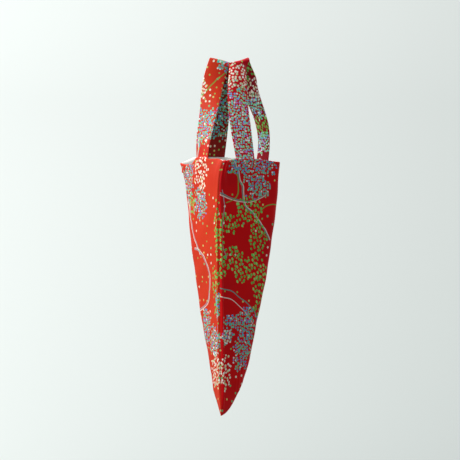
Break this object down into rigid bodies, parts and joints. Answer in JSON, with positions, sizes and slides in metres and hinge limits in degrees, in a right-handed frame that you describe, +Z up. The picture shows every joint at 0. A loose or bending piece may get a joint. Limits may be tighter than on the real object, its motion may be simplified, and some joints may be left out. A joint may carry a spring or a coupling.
{
  "type": "fabric gift bag",
  "caption": "Long tapered fabric gift bag, sewn from two printed panels with a lining and stiff felt between, and carried by a pair of soft strap handles.",
  "frame": {"origin": "lowest point of the hanging wire's axis, between the crowns of the two handles", "axes": "+Z up, +X to the right and +Y to the back; the plane of the two body seams is turned 16 degrees about Z from +Y towards +X"},
  "size_m": [0.1356, 0.1308, 0.4972],
  "materials": {
    "printed_cloth": "plain-woven cotton, red with a dense print of small mint, blue, green and cream dots",
    "lining_cloth": "plain off-white lining cotton",
    "interlining_felt": "dense needled felt, hidden between the cloths",
    "webbing": "flat cotton webbing inside the straps",
    "red_thread": "polyester sewing thread, red",
    "lining_thread": "polyester sewing thread, off-white"
  },
  "bodies": {
    "bag": {"left_panel": "printed_cloth", "right_panel": "printed_cloth", "left_interlining": "interlining_felt", "right_interlining": "interlining_felt", "left_lining": "lining_cloth", "right_lining": "lining_cloth", "spine_seam_thread": "red_thread", "belly_seam_thread": "red_thread", "lining_spine_seam_thread": "lining_thread", "lining_belly_seam_thread": "lining_thread", "mouth_topstitching": "red_thread", "left_front_strap_root": "printed_cloth", "left_back_strap_root": "printed_cloth", "right_front_strap_root": "printed_cloth", "right_back_strap_root": "printed_cloth"},
    "left_handle": {"left_strap": "printed_cloth", "left_strap_core": "webbing", "left_strap_stitching": "red_thread"},
    "right_handle": {"right_strap": "printed_cloth", "right_strap_core": "webbing", "right_strap_stitching": "red_thread"}
  },
  "joints": [
    {"name": "left_handle_swing", "type": "hinge", "parent": "bag", "child": "left_handle", "pos_m": [-0.03967, -0.02776, -0.1315], "axis": [-0.2156, -0.9765, 0], "range_deg": [0, 120], "deforming": ["left_front_strap_root", "left_back_strap_root"]},
    {"name": "right_handle_swing", "type": "hinge", "parent": "bag", "child": "right_handle", "pos_m": [0.01893, -0.04456, -0.1315], "axis": [0.3347, 0.9423, 0], "range_deg": [0, 120], "deforming": ["right_front_strap_root", "right_back_strap_root"]}
  ]
}
